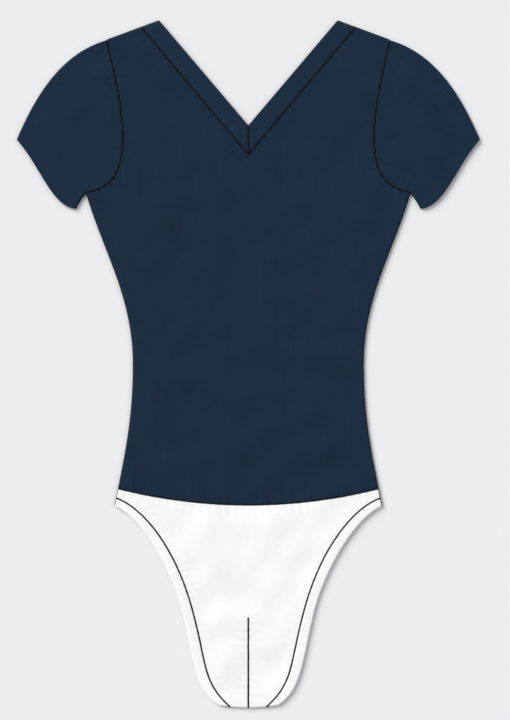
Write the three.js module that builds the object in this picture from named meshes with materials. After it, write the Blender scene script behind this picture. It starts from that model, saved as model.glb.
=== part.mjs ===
// A short-sleeved leotard with a V neck, laid flat with its front up: a dark knitted body and sleeves on a
// pale brief. Millimetres, +Z up. The wearer's left is +X, the neck is towards +Y, and the underside is z = 0.
//
// The garment is two layers of cloth that lie on each other. Each piece is drawn flat, as on a paper pattern,
// with y counted up from the crotch. drape() then lifts its points to the front or the back layer, and turns
// them down where the two layers meet at the outline. wall() gives the draped sheet its thickness.

import * as THREE from "three";

// Size chart, measured on the flat garment
const BODY_LENGTH = 780; // crotch to the neck end of the shoulder seam
const NECK_WIDTH = 202;
const NECK_DEPTH = 119; // neck end of the shoulder to the point of the V
const BAND_WIDTH = 22; // neckband, along the shoulder seam
const MITRE_LENGTH = 33; // the neckband's seam at the point of the V
const SHOULDER_WIDTH = 321; // from one armhole seam to the other
const SHOULDER_DROP = 22;
const CHEST_WIDTH = 368;
const UNDERARM_HEIGHT = 585;
const ARMHOLE_WIDTH = 285.4; // between the armhole seams at their narrowest
const ARMHOLE_NARROW_HEIGHT = 647;
const SLEEVE_SPAN = 526; // from one sleeve hem to the other
const SLEEVE_TOP_HEIGHT = 645;
const SLEEVE_LOW_WIDTH = 392; // between the underarm ends of the hems
const SLEEVE_LOW_HEIGHT = 566.4;
const WAIST_WIDTH = 261;
const WAIST_HEIGHT = 390;
const JOIN_HEIGHT = 230.5; // body to brief, at the centre front
const JOIN_RISE = 18.4; // how much higher that seam is at the side
const LEG_TOP_WIDTH = 303;
const LEG_TOP_HEIGHT = 229;
const LEG_MID_WIDTH = 149; // across the brief where its leg line is steepest
const LEG_MID_HEIGHT = 108.5;
const CROTCH_WIDTH = 65.4;
const CROTCH_RISE = 2.5; // how much higher the crotch fold is at the leg than at the centre
const BINDING_WIDTH = 11.7; // leg binding, half way down the leg
const BINDING_AT_SIDE = 9;
const BINDING_AT_CROTCH = 12.5;
const CENTRE_SEAM = 103; // the short seam up the front of the brief

// Cloth
const CLOTH = 1.2; // one layer of knit
const BAND = 1.8; // a strip folded double, as the neckband and the leg bindings are
const BAND_RIM = 0.9; // the thickness of such a strip at its folded edge, which is round
const BAND_RIM_WIDTH = 0.6;
const SEAM_GAP = 0.3; // between two pieces that are sewn together
const HALF_GAP = SEAM_GAP / 2;
const SEAM_ROLL = 0.4; // how far the outer face dips into a seam
const ROLL_REACH = 1.2; // how far from the seam that dip starts
const TURN = 1.9; // the strip of cloth along the outline that turns down to meet the other layer
const FRONT_LEVEL = 3.4; // middle of the front cloth at the garment's edges
const MEETING_LEVEL = 2.15; // height at which the front and back layers meet
const FRONT_SAG = 0.7; // how much lower the front lies in the middle of a panel
const SAG_REACH = 35;
const FOLD_ROOM = 17.5; // how far from the edges a fold gets its full height

// Broad soft folds of the front layer, none of them sharp. A negative rise is a hollow.
const FOLDS = [
  { x: 118, y: 548, length: 62, width: 17, angle: 132, rise: 1.1 },
  { x: -112, y: 540, length: 70, width: 18, angle: 40, rise: 0.9 },
  { x: -84, y: 452, length: 55, width: 16, angle: 12, rise: 0.7 },
  { x: 78, y: 398, length: 60, width: 18, angle: -8, rise: 0.8 },
  { x: -70, y: 372, length: 50, width: 17, angle: -14, rise: 0.8 },
  { x: 16, y: 500, length: 90, width: 26, angle: 84, rise: -0.4 },
  { x: 92, y: 300, length: 58, width: 17, angle: 24, rise: 0.6 },
  { x: 196, y: 682, length: 52, width: 19, angle: 118, rise: 1.2 },
  { x: -199, y: 676, length: 48, width: 18, angle: 60, rise: 1.3 },
  { x: -46, y: 168, length: 44, width: 16, angle: 118, rise: 0.6 },
  { x: 52, y: 176, length: 40, width: 15, angle: 64, rise: 0.5 },
];

// Steps across and along the pieces
const EDGE_STEPS = [0, TURN / 3, (2 * TURN) / 3, TURN]; // over a turned edge
const SEAM_STEPS = [0, ROLL_REACH]; // beside a seam
const CORNER_STEP = 2.2; // beside a corner of a piece, clear of the steps that come round it
const FRONT_COLUMNS = 6;
const BACK_COLUMNS = 2;
const SLEEVE_COLUMNS = 4;
const BODY_LOW_ROWS = 4; // from the join seam to the waist
const BODY_SIDE_ROWS = 5; // from the waist to the underarm
const ARMHOLE_ROWS = 5;
const LEG_ROWS = 5; // on each of the two curves of the leg line
const BRIEF_SIDE_ROWS = 2;
const UNDERARM_ROWS = 2;
const BAND_ROWS = 5;
const OUTLINE_STEPS = 90; // per curve, for measuring distances to it
const SHORT_STEP = 0.004; // a share of a curve's length, for telling its direction
const CLOSE_SHARE = 1e-7; // two shares of a length this close are one
const PLACES_PER_MM = 1000; // two points with the same place at this fineness are one

const NAVY = 0x1f3042;
const WHITE = 0xf6f6f4;

const point = (x, y) => new THREE.Vector2(x, y);

// Landmarks of the wearer's left half
const neckPoint = point(NECK_WIDTH / 2, BODY_LENGTH);
const neckTip = point(0, BODY_LENGTH - NECK_DEPTH);
const bandTip = point(0, neckTip.y - MITRE_LENGTH);
const shoulderPoint = point(SHOULDER_WIDTH / 2, BODY_LENGTH - SHOULDER_DROP);
const underarm = point(CHEST_WIDTH / 2, UNDERARM_HEIGHT);
const chestPoint = point(ARMHOLE_WIDTH / 2, ARMHOLE_NARROW_HEIGHT);
const sleeveTop = point(SLEEVE_SPAN / 2, SLEEVE_TOP_HEIGHT);
const sleeveLow = point(SLEEVE_LOW_WIDTH / 2, SLEEVE_LOW_HEIGHT);
const waistPoint = point(WAIST_WIDTH / 2, WAIST_HEIGHT);
const legTop = point(LEG_TOP_WIDTH / 2, LEG_TOP_HEIGHT);
const legMid = point(LEG_MID_WIDTH / 2, LEG_MID_HEIGHT);
const crotchEnd = point(CROTCH_WIDTH / 2, CROTCH_RISE);
const seamMid = point(LEG_MID_WIDTH / 2 - BINDING_WIDTH, LEG_MID_HEIGHT);
const seamLow = point(CROTCH_WIDTH / 2 - BINDING_AT_CROTCH, 0);
seamLow.y = CROTCH_RISE * (seamLow.x / crotchEnd.x) ** 2;

// A curve from one landmark to the next. leave and arrive are its handles, counted from its two ends.
function bend(from, leave, arrive, to) {
  return new THREE.CubicBezierCurve(
    from,
    point(from.x + leave[0], from.y + leave[1]),
    point(to.x + arrive[0], to.y + arrive[1]),
    to,
  );
}

// A curve that leaves its start level and rises to its end as a parabola.
function bowl(from, to) {
  const handle = point((from.x + to.x) / 2, from.y);
  return new THREE.QuadraticBezierCurve(from, handle, to);
}

const line = (from, to) => new THREE.LineCurve(from, to);

// The outline and the seams, each travelled with the cloth of the whole garment on its left
const sideLow = bend(legTop, [-12.3, 60.4], [0, -61.6], waistPoint);
const sideHigh = bend(waistPoint, [0, 76.4], [-20.4, -68.7], underarm);
const underarmSeam = bend(underarm, [3.3, -3.7], [-3.6, 7.6], sleeveLow);
const hem = bend(sleeveLow, [28, 3.3], [-28.8, -32.8], sleeveTop);
const sleeveFold = bend(sleeveTop, [-18.2, 41.6], [56.5, -16], shoulderPoint);
const shoulder = line(shoulderPoint, neckPoint);
const neckline = line(neckPoint, neckTip);
const crotch = bowl(point(0, 0), crotchEnd);
const legEdgeLow = bend(crotchEnd, [28.2, 17.6], [-13.6, -57], legMid);
const legEdgeHigh = bend(legMid, [11.8, 47.8], [-29.9, -12.4], legTop);

const armholeLow = bend(underarm, [-21.3, 4.5], [0, -50], chestPoint);
const armholeHigh = bend(chestPoint, [0, 37], [-7.5, -37], shoulderPoint);
const joinEnd = pointAtHeight(sideLow, JOIN_HEIGHT + JOIN_RISE);
const join = bowl(point(0, JOIN_HEIGHT), joinEnd);
const legSeamEnd = pointAtHeight(sideLow, LEG_TOP_HEIGHT + BINDING_AT_SIDE);
const legSeamLow = bend(seamLow, [32, 27.9], [-15.9, -58.8], seamMid);
const legSeamHigh = bend(seamMid, [18.6, 72], [-31.2, -11.6], legSeamEnd);
const bandPoint = shoulder.getPointAt(1 - BAND_WIDTH / shoulder.getLength());
const neckSeam = line(bandTip, bandPoint);
const mitre = line(neckTip, bandTip);
const centreSeam = line(point(0, 0), point(0, CENTRE_SEAM));

const centreLine = line(point(0, 0), point(0, BODY_LENGTH));
const besideCentre = movedLeft(centreLine, -HALF_GAP);
const bodyNeck = movedLeft(neckSeam, -HALF_GAP);
const bandNeck = movedLeft(neckSeam, HALF_GAP);
const BODY_CHEVRON = 470; // height on the centre line that the net of points joins to the underarm
const WAIST_ROW = 362; // and to the waist
const BRIEF_CHEVRON = 190; // and to the corner between leg binding and side seam

// How far along a rising curve, from 0 to 1, it reaches a height. The height may depend on the place's x.
function shareAtHeight(curve, height, low = 0, high = 1) {
  const middle = (low + high) / 2;
  if (high - low < CLOSE_SHARE) return middle;
  const place = curve.getPointAt(middle);
  const wanted = typeof height === "function" ? height(place.x) : height;
  return place.y < wanted
    ? shareAtHeight(curve, height, middle, high)
    : shareAtHeight(curve, height, low, middle);
}

function pointAtHeight(curve, height) {
  return curve.getPointAt(shareAtHeight(curve, height));
}

// A stretch of a curve, from one share of its length to another. It is used as a curve of its own.
function stretch(curve, start, end) {
  return {
    getPointAt: (u) => curve.getPointAt(start + (end - start) * u),
    getLength: () => curve.getLength() * (end - start),
  };
}

const between = (curve, low, high) =>
  stretch(curve, shareAtHeight(curve, low), shareAtHeight(curve, high));

// A straight line moved sideways, to the left of its travel.
function movedLeft(straight, distance) {
  const along = straight.getTangentAt(0);
  const shift = point(-along.y, along.x).multiplyScalar(distance);
  return line(straight.v1.clone().add(shift), straight.v2.clone().add(shift));
}

// Where two straight lines cross, also beyond their ends.
function crossing(one, other) {
  const along = one.v2.clone().sub(one.v1);
  const across = other.v2.clone().sub(other.v1);
  const from = other.v1.clone().sub(one.v1);
  return one.v1.clone().addScaledVector(along, from.cross(across) / along.cross(across));
}

// Distances. Both halves are alike, so x counts without its sign.
const traced = (curves) => curves.map((c) => c.getSpacedPoints(OUTLINE_STEPS));
const allEdges = traced([
  crotch,
  sideLow,
  sideHigh,
  underarmSeam,
  sleeveFold,
  shoulder,
  legEdgeLow,
  legEdgeHigh,
  hem,
  neckline,
]);
const frontSeams = traced([
  armholeLow,
  armholeHigh,
  join,
  neckSeam,
  mitre,
  legSeamLow,
  legSeamHigh,
  centreSeam,
]);

// The nearest place on some traced lines, with the direction out of the cloth there.
function nearest(lines, x, y) {
  const best = { distance: Infinity, out: point(0, 1) };
  for (const places of lines)
    for (let i = 0; i + 1 < places.length; i++) {
      const a = places[i];
      const along = places[i + 1].clone().sub(a);
      const reach = (x - a.x) * along.x + (y - a.y) * along.y;
      const share = Math.min(1, Math.max(0, reach / along.lengthSq()));
      const gap = point(a.x + share * along.x - x, a.y + share * along.y - y);
      if (gap.length() < best.distance) {
        best.distance = gap.length();
        const sideways = point(along.y, -along.x).normalize();
        best.out = best.distance > SEAM_GAP ? gap.normalize() : sideways;
      }
    }
  return best;
}

// Middle of the front cloth over a place on the pattern.
function frontHeight(x, y) {
  const inside = nearest(allEdges, Math.abs(x), y).distance;
  const sag = FRONT_SAG * (1 - Math.exp(-inside / SAG_REACH));
  const room = 1 - Math.exp(-((inside / FOLD_ROOM) ** 2));
  let rise = 0;
  for (const fold of FOLDS) {
    const turn = THREE.MathUtils.degToRad(fold.angle);
    const [dx, dy] = [x - fold.x, y - fold.y];
    const along = (dx * Math.cos(turn) + dy * Math.sin(turn)) / fold.length;
    const across = (dy * Math.cos(turn) - dx * Math.sin(turn)) / fold.width;
    rise += fold.rise * Math.exp(-(along ** 2) - across ** 2);
  }
  return FRONT_LEVEL - sag + rise * room;
}

// A pattern point in its place: mid is the middle of the cloth, out the way that its outer face looks, and
// outer and inner how far its two faces are from mid. layer is 1 for the front and -1 for the back. gap is what
// stays open where the two layers meet, along the edges in closed.
function drape({ x, y, layer, thick, gap = SEAM_GAP }, closed) {
  const edge = nearest(closed, Math.abs(x), y);
  const level = layer > 0 ? frontHeight(x, y) : thick / 2;
  const turn = Math.max(0, 1 - edge.distance / TURN) * (Math.PI / 2);
  const outward = new THREE.Vector3(edge.out.x * Math.sign(x), edge.out.y, 0);
  const mid = new THREE.Vector3(x, y, level);
  const out = new THREE.Vector3(0, 0, layer);
  if (turn > 0) {
    const inset = CLOTH / 2 + (TURN - CLOTH / 2) * (1 - Math.sin(turn));
    const fall = Math.abs(level - MEETING_LEVEL) - gap / 2;
    mid.addScaledVector(outward, edge.distance - inset);
    mid.z = MEETING_LEVEL + layer * (gap / 2 + fall * Math.cos(turn));
    out
      .multiplyScalar(Math.cos(turn))
      .addScaledVector(outward, Math.sin(turn))
      .normalize();
  }
  const seam = nearest(frontSeams, Math.abs(x), y).distance - HALF_GAP;
  const roll = SEAM_ROLL * Math.min(1, Math.max(0, 1 - seam / ROLL_REACH));
  return { mid, outer: thick / 2 - (layer > 0 ? roll : 0), inner: thick / 2, out };
}

// A cloth sheet: rows of pattern points become a net of quads, where points in one place are one point. Along
// the curves in closed it turns down to meet the other layer.
class Sheet {
  constructor(closed) {
    this.closed = traced(closed);
    this.points = [];
    this.quads = [];
    this.places = new Map();
  }

  add(patternPoint) {
    const draped = drape(patternPoint, this.closed);
    const place = [...draped.mid.toArray(), ...draped.out.toArray()]
      .map((v) => Math.round(v * PLACES_PER_MM))
      .join();
    if (!this.places.has(place)) {
      this.places.set(place, this.points.length);
      this.points.push(draped);
    }
    return this.places.get(place);
  }

  addRows(rows, mirrored = false) {
    const net = rows.map((row) =>
      row.map((p) => this.add(mirrored ? { ...p, x: -p.x } : p)),
    );
    for (let i = 0; i + 1 < net.length; i++)
      for (let j = 0; j + 1 < net[i].length; j++) {
        const quad = [net[i][j], net[i][j + 1], net[i + 1][j + 1], net[i + 1][j]];
        this.quads.push(mirrored ? quad.reverse() : quad);
      }
    return this;
  }
}

// The closed wall of a sheet: its outer face, its inner face, and the rim between them.
function wall(sheet) {
  const { points, quads } = sheet;
  const faces = [];
  for (const [a, b, c, d] of quads) {
    const one = points[a].mid.distanceTo(points[c].mid);
    const other = points[b].mid.distanceTo(points[d].mid);
    if (one <= other) faces.push([a, b, c], [a, c, d]);
    else faces.push([a, b, d], [b, c, d]);
  }
  let facing = 0;
  for (const face of faces) {
    const [a, b, c] = face.map((i) => points[i]);
    const normal = b.mid.clone().sub(a.mid).cross(c.mid.clone().sub(a.mid));
    facing += normal.dot(a.out);
  }
  if (facing < 0) faces.forEach((face) => face.reverse());

  const edges = new Set();
  for (const face of faces)
    face.forEach((from, i) => edges.add(`${from},${face[(i + 1) % 3]}`));
  const rim = [...edges]
    .map((edge) => edge.split(",").map(Number))
    .filter(([from, to]) => !edges.has(`${to},${from}`));

  const count = points.length;
  const vertices = [
    ...points.map((p) => p.mid.clone().addScaledVector(p.out, p.outer)),
    ...points.map((p) => p.mid.clone().addScaledVector(p.out, -p.inner)),
  ];
  const index = [];
  for (const [i, j, k] of faces) {
    index.push(i, j, k);
    index.push(i + count, k + count, j + count);
  }
  for (const [from, to] of rim) {
    index.push(to, from, from + count);
    index.push(to, from + count, to + count);
  }
  const geometry = new THREE.BufferGeometry();
  geometry.setFromPoints(vertices);
  geometry.setIndex(index);
  geometry.computeVertexNormals();
  return geometry;
}

// Steps along a curve: close ones in millimetres at its start and end, and even ones between.
function steps(count, start = [0], end = [0]) {
  const made = start.map((mm) => ({ share: 0, shift: mm }));
  for (let i = 1; i < count; i++) made.push({ share: i / count, shift: 0 });
  return [...made, ...end.toReversed().map((mm) => ({ share: 1, shift: -mm }))];
}

// Steps up a curve that starts on the crotch fold. The close ones keep level with the fold, which turns.
function stepsUp(count) {
  const made = EDGE_STEPS.map((rise) => ({ share: 0, rise }));
  return [...made, ...steps(count).slice(1)];
}

const crotchHeight = (x) => CROTCH_RISE * (x / crotchEnd.x) ** 2;
const BEYOND = 0.02; // how far past its ends a curve is looked at, as a share of its length

function placeOn(curve, { share, shift, rise }) {
  if (rise === undefined) return curve.getPointAt(share + shift / curve.getLength());
  const wanted = (x) => crotchHeight(x) + rise;
  return curve.getPointAt(shareAtHeight(curve, wanted, -BEYOND, 1));
}

// A curve moved sideways by half a seam's gap: to the left of its travel when side is 1, to its right when
// side is -1, and not at all when it is 0. It goes on straight past its ends.
function beside(curve, side) {
  const getPointAt = (u) => {
    const within = Math.min(1, Math.max(0, u));
    const before = curve.getPointAt(Math.max(0, within - SHORT_STEP));
    const after = curve.getPointAt(Math.min(1, within + SHORT_STEP));
    const along = after.sub(before).normalize();
    return curve
      .getPointAt(within)
      .addScaledVector(along, (u - within) * curve.getLength())
      .add(point(-along.y, along.x).multiplyScalar(side * HALF_GAP));
  };
  return { getPointAt, getLength: () => curve.getLength() };
}

// Where two curves would cross if they went on straight from a place on each.
function meeting(one, oneShare, other, otherShare) {
  const [a, b] = [
    [one, oneShare],
    [other, otherShare],
  ].map(([curve, u]) => {
    const step = u < 0.5 ? SHORT_STEP : -SHORT_STEP;
    return line(curve.getPointAt(u), curve.getPointAt(u + step));
  });
  return crossing(a, b);
}

// The way into the cloth at each place of an edge, where the cloth lies towards the places of the other edge.
// A corner's direction is longer, so insets from the edge's two sides meet in it.
function inward(edge, towards) {
  const across = edge.slice(1).map((place, i) => {
    const along = place.clone().sub(edge[i]).normalize();
    const left = point(-along.y, along.x);
    const cloth = towards[i].clone().sub(edge[i]).add(towards[i + 1]).sub(place);
    return left.dot(cloth) < 0 ? left.negate() : left;
  });
  return edge.map((_, i) => {
    const one = across[Math.max(0, i - 1)];
    const other = across[Math.min(across.length - 1, i)];
    const both = one.clone().add(other).normalize();
    return both.divideScalar(both.dot(one));
  });
}

// A piece's net of pattern points: rows that run from its inner to its outer edge, which have as many places.
// first and last are the curves of its other two edges, and the rows between take their bend from them.
function net({ inner, outer, first, last, columns, innerSteps, outerSteps }) {
  const fromInner = inward(inner, outer);
  const fromOuter = inward(outer, inner);
  return inner.map((start, i) => {
    const end = outer[i];
    const t = i / (inner.length - 1);
    const even = Array.from({ length: columns }, (_, j) => (j + 1) / (columns + 1));
    if (t === 0 || t === 1) {
      const edge = t === 0 ? first : last;
      const length = edge.getLength();
      const near = innerSteps.map((mm) => mm / length);
      const far = outerSteps.toReversed().map((mm) => 1 - mm / length);
      return [...near, ...even, ...far].map((share) => edge.getPointAt(share));
    }
    const inset = (place, way) => (mm) => place.clone().addScaledVector(way, mm);
    const bent = (share) => {
      const low = first.getPointAt(share).sub(inner[0].clone().lerp(outer[0], share));
      const high = last
        .getPointAt(share)
        .sub(inner.at(-1).clone().lerp(outer.at(-1), share));
      return start
        .clone()
        .lerp(end, share)
        .addScaledVector(low, 1 - t)
        .addScaledVector(high, t);
    };
    return [
      ...innerSteps.map(inset(start, fromInner[i])),
      ...even.map(bent),
      ...outerSteps.toReversed().map(inset(end, fromOuter[i])),
    ];
  });
}

// The same net as cloth of the front or the back layer.
const inCloth = (rows, layer, gap) =>
  rows.map((row) => row.map(({ x, y }) => ({ x, y, layer, thick: CLOTH, gap })));

// Stations that neighbours share, so that both sides of a curved seam follow the same corners
const ARMHOLE_LOW = steps(ARMHOLE_ROWS, [0, CORNER_STEP], SEAM_STEPS);
const ARMHOLE_HIGH = steps(SLEEVE_COLUMNS + 1, [0, TURN], EDGE_STEPS);
const LEG_LOW = stepsUp(LEG_ROWS);
const LEG_HIGH = steps(LEG_ROWS, [0], [0, CORNER_STEP]);

const onCentre = (low, high) => line(point(0, low), point(0, high));
const placesOn = (curve, stations) => stations.map((step) => placeOn(curve, step));
const placesBeside = (curve, stations, side) => placesOn(beside(curve, side), stations);

// Front or back of the body: from the join seam up to the shoulders, with the V left out.
function bodyPanel(layer, columns) {
  const bottom = JOIN_HEIGHT + HALF_GAP;
  const lowSide = between(sideLow, joinEnd.y + HALF_GAP, WAIST_HEIGHT);
  const neckLow = crossing(bodyNeck, centreLine);
  const neckHigh = crossing(bodyNeck, shoulder);
  const lowStations = steps(BODY_LOW_ROWS, SEAM_STEPS);
  const sideStations = steps(BODY_SIDE_ROWS, [0], [0, CORNER_STEP]);
  const inner = [
    ...placesOn(onCentre(bottom, WAIST_ROW), lowStations),
    ...placesOn(onCentre(WAIST_ROW, BODY_CHEVRON), sideStations).slice(1),
    ...placesOn(onCentre(BODY_CHEVRON, neckLow.y), ARMHOLE_LOW).slice(1),
    ...placesOn(line(neckLow, neckHigh), ARMHOLE_HIGH).slice(1),
  ];
  const outer = [
    ...placesOn(lowSide, lowStations),
    ...placesOn(sideHigh, sideStations).slice(1, -1),
    meeting(beside(armholeLow, 1), 0, sideHigh, 1),
    ...placesBeside(armholeLow, ARMHOLE_LOW, 1).slice(1),
    ...placesBeside(armholeHigh, ARMHOLE_HIGH, 1).slice(1, -1),
    meeting(beside(armholeHigh, 1), 1, shoulder, 0),
  ];
  const half = net({
    inner,
    outer,
    first: bowl(inner[0], outer[0]),
    last: line(inner.at(-1), outer.at(-1)),
    columns,
    innerSteps: SEAM_STEPS,
    outerSteps: EDGE_STEPS,
  });
  const rows = inCloth(half, layer);
  return new Sheet([sideLow, sideHigh, shoulder]).addRows(rows).addRows(rows, true);
}

// Front or back of the brief. The front has the short centre seam, where its two halves stand a gap apart.
function briefPanel(layer, columns) {
  const open = layer > 0 ? HALF_GAP : 0;
  const top = JOIN_HEIGHT - HALF_GAP;
  const highSide = between(sideLow, legSeamEnd.y, joinEnd.y - HALF_GAP);
  const sideStations = steps(BRIEF_SIDE_ROWS, [0, CORNER_STEP], SEAM_STEPS);
  const slit = placesOn(onCentre(0, CENTRE_SEAM), LEG_LOW);
  const inner = [
    ...slit.map(({ y }, i) => point(i < slit.length - 1 ? open : 0, y)),
    ...placesOn(onCentre(CENTRE_SEAM, BRIEF_CHEVRON), LEG_HIGH).slice(1),
    ...placesOn(onCentre(BRIEF_CHEVRON, top), sideStations).slice(1),
  ];
  const outer = [
    ...placesBeside(legSeamLow, LEG_LOW, 1),
    ...placesBeside(legSeamHigh, LEG_HIGH, 1).slice(1, -1),
    meeting(beside(legSeamHigh, 1), 1, highSide, 0),
    ...placesOn(highSide, sideStations).slice(1),
  ];
  const half = net({
    inner,
    outer,
    first: bowl(inner[0], outer[0]),
    last: bowl(inner.at(-1), outer.at(-1)),
    columns,
    innerSteps: SEAM_STEPS,
    outerSteps: EDGE_STEPS,
  });
  const rows = inCloth(half, layer);
  return new Sheet([crotch, sideLow]).addRows(rows).addRows(rows, true);
}

// A sleeve is one piece, folded along its top edge and sewn to itself under the arm. Its net runs from the
// low half of the armhole and the underarm seam up to the fold, and down again in the back layer.
function sleeve(mirrored) {
  const inner = [
    ...placesBeside(armholeLow, ARMHOLE_LOW.slice(1), -1).reverse(),
    meeting(beside(armholeLow, -1), 0, underarmSeam, 0),
    ...placesOn(underarmSeam, steps(UNDERARM_ROWS)).slice(1),
  ];
  const top = meeting(beside(armholeHigh, -1), 1, sleeveFold, 1);
  const outer = placesOn(sleeveFold, steps(inner.length - 2, [0], SEAM_STEPS)).reverse();
  outer[0] = top;
  const cap = [...placesBeside(armholeHigh, ARMHOLE_HIGH, -1).slice(0, -1), top];
  const half = net({
    inner,
    outer,
    first: new THREE.SplineCurve(cap),
    last: hem,
    columns: SLEEVE_COLUMNS,
    innerSteps: [0, TURN],
    outerSteps: EDGE_STEPS,
  });
  half[0] = cap;
  const gapUnder = (rows, layer) =>
    inCloth(rows, layer).map((row) =>
      row.map((p, j) => ({ ...p, gap: j < row.length / 2 ? SEAM_GAP : 0 })),
    );
  const front = gapUnder(half, 1);
  const back = gapUnder(half, -1);
  const around = front.map((row, i) => [...row, ...back[i].slice(0, -1).reverse()]);
  return new Sheet([underarmSeam, sleeveFold]).addRows(around, mirrored);
}

// Steps across a folded strip: round at its free edge, and no thicker than the cloth where it is sewn on.
const STRIP_COLUMNS = [
  { share: 0, shift: 0, thick: BAND_RIM },
  { share: 0, shift: BAND_RIM_WIDTH, thick: BAND },
  { share: 0.5, shift: 0, thick: BAND },
  { share: 1, shift: -ROLL_REACH, thick: BAND },
  { share: 1, shift: 0, thick: CLOTH },
];

function acrossStrip(free, sewn, layer, gap) {
  const width = free.distanceTo(sewn);
  return STRIP_COLUMNS.map(({ share, shift, thick }) => {
    const { x, y } = free.clone().lerp(sewn, share + shift / width);
    return { x, y, layer, thick, gap };
  });
}

// One quarter of the neckband, from its mitre at the point of the V to the shoulder seam.
function neckband(layer, mirrored) {
  const free = line(crossing(neckline, besideCentre), neckPoint);
  const sewn = line(crossing(bandNeck, besideCentre), crossing(bandNeck, shoulder));
  const rows = steps(BAND_ROWS, SEAM_STEPS, EDGE_STEPS).map((step) =>
    acrossStrip(placeOn(free, step), placeOn(sewn, step), layer, SEAM_GAP),
  );
  return new Sheet([shoulder]).addRows(rows, mirrored);
}

// One leg binding: a strip that runs from the side seam down the front of the leg, round the crotch fold and
// up the back.
function legBinding(mirrored) {
  const pairs = [
    ...LEG_LOW.slice(0, -1).map((step) => [legEdgeLow, legSeamLow, step]),
    ...LEG_HIGH.map((step) => [legEdgeHigh, legSeamHigh, step]),
  ];
  const laid = (layer) =>
    pairs.map(([edge, seam, step], i) => {
      const gap = i < pairs.length / 2 ? 0 : SEAM_GAP;
      const [free, sewn] = [beside(edge, 0), beside(seam, -1)];
      return acrossStrip(placeOn(free, step), placeOn(sewn, step), layer, gap);
    });
  const around = [...laid(-1).reverse(), ...laid(1).slice(1)];
  return new Sheet([crotch, sideLow]).addRows(around, mirrored);
}

const navyKnit = new THREE.MeshStandardMaterial({
  color: NAVY,
  roughness: 0.85,
  metalness: 0,
});
const whiteKnit = new THREE.MeshStandardMaterial({
  color: WHITE,
  roughness: 0.85,
  metalness: 0,
});

const garment = new THREE.Group();
garment.position.y = -BODY_LENGTH / 2;

function piece(name, sheet, material) {
  const mesh = new THREE.Mesh(wall(sheet), material);
  mesh.name = name;
  garment.add(mesh);
}

piece("front_body", bodyPanel(1, FRONT_COLUMNS), navyKnit);
piece("back_body", bodyPanel(-1, BACK_COLUMNS), navyKnit);
piece("brief_front", briefPanel(1, FRONT_COLUMNS), whiteKnit);
piece("brief_back", briefPanel(-1, BACK_COLUMNS), whiteKnit);
for (const [side, mirrored] of [
  ["left", false],
  ["right", true],
]) {
  piece(`sleeve_${side}`, sleeve(mirrored), navyKnit);
  piece(`neckband_front_${side}`, neckband(1, mirrored), navyKnit);
  piece(`neckband_back_${side}`, neckband(-1, mirrored), navyKnit);
  piece(`leg_binding_${side}`, legBinding(mirrored), whiteKnit);
}

export default garment;
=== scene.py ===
# %% [markdown]
# # A short-sleeved leotard, laid flat
#
# The garment is a dark jersey body with short sleeves and a V neck, sewn to a white brief. It lies on a pale
# surface with its front up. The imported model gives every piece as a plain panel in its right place. This
# lesson dresses each panel with a finer shell of cloth on the same form, and then sews the pieces together.

# %% Load the frame
import math

import bpy
import numpy as np
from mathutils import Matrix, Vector
from mathutils.geometry import delaunay_2d_cdt


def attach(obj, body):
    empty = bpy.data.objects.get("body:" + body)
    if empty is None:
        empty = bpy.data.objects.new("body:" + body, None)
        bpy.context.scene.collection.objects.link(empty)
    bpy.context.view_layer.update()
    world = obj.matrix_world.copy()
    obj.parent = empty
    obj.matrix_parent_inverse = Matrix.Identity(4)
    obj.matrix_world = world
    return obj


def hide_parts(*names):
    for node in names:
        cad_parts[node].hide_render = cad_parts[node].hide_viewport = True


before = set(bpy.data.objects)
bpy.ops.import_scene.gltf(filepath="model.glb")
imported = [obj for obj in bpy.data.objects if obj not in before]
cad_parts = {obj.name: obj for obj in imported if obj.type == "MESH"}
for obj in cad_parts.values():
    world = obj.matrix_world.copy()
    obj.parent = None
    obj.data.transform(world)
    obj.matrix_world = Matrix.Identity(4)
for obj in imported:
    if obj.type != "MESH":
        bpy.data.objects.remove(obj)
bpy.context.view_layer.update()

print("pieces in the frame:", sorted(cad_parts))

# %% [markdown]
# ## The camera
#
# The garment is drawn square to the view, as when one looks straight down on a cutting table. A parallel
# camera would give that view, but a long lens from high above gives nearly the same one, and it also works
# when the camera is later moved round to the sides. The lens and the stretch of table that fills the
# picture's height together give the camera's height.

# %% Camera straight above
VIEW_HEIGHT = 0.818  # metres of table from the top to the bottom of the picture
PICTURE_CENTRE = (0.0076, 0.0048)
LENS, FILM = 120, 36  # mm

scene = bpy.context.scene
camera = bpy.data.objects.new("camera", bpy.data.cameras.new("camera"))
scene.collection.objects.link(camera)
camera.data.lens = LENS
camera.data.sensor_width = FILM
camera.location = (*PICTURE_CENTRE, VIEW_HEIGHT * LENS / FILM)
scene.camera = camera
print("camera height:", round(camera.location.z, 3), "m")

# %% [markdown]
# ## Table and light
#
# A pale matt table keeps the white brief readable, so it is a little greyer than the cloth. The main lamp is
# far off beyond the wearer's right shoulder, so that it lights the whole garment evenly. It stands less than
# half way up, so it grazes the cloth and shows its folds, and it is broad, so the edges cast a soft shadow. A
# weaker lamp on the other side and the bright room fill in the rest. A lamp that is far off is a sun in
# Blender's terms, and its angle says how broad it looks from the table. An area lamp close by would do for
# something small, but it would light one end of a long garment more than the other. The view transform is
# the plain one, so that cloth comes out in the colours it was given.

# %% Table
TABLE_COLOUR = (0.70, 0.705, 0.71, 1)
TABLE_SIZE = 12
TABLE_DROP = 0.0001  # metres of air under the cloth, so that the two surfaces never flicker

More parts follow.
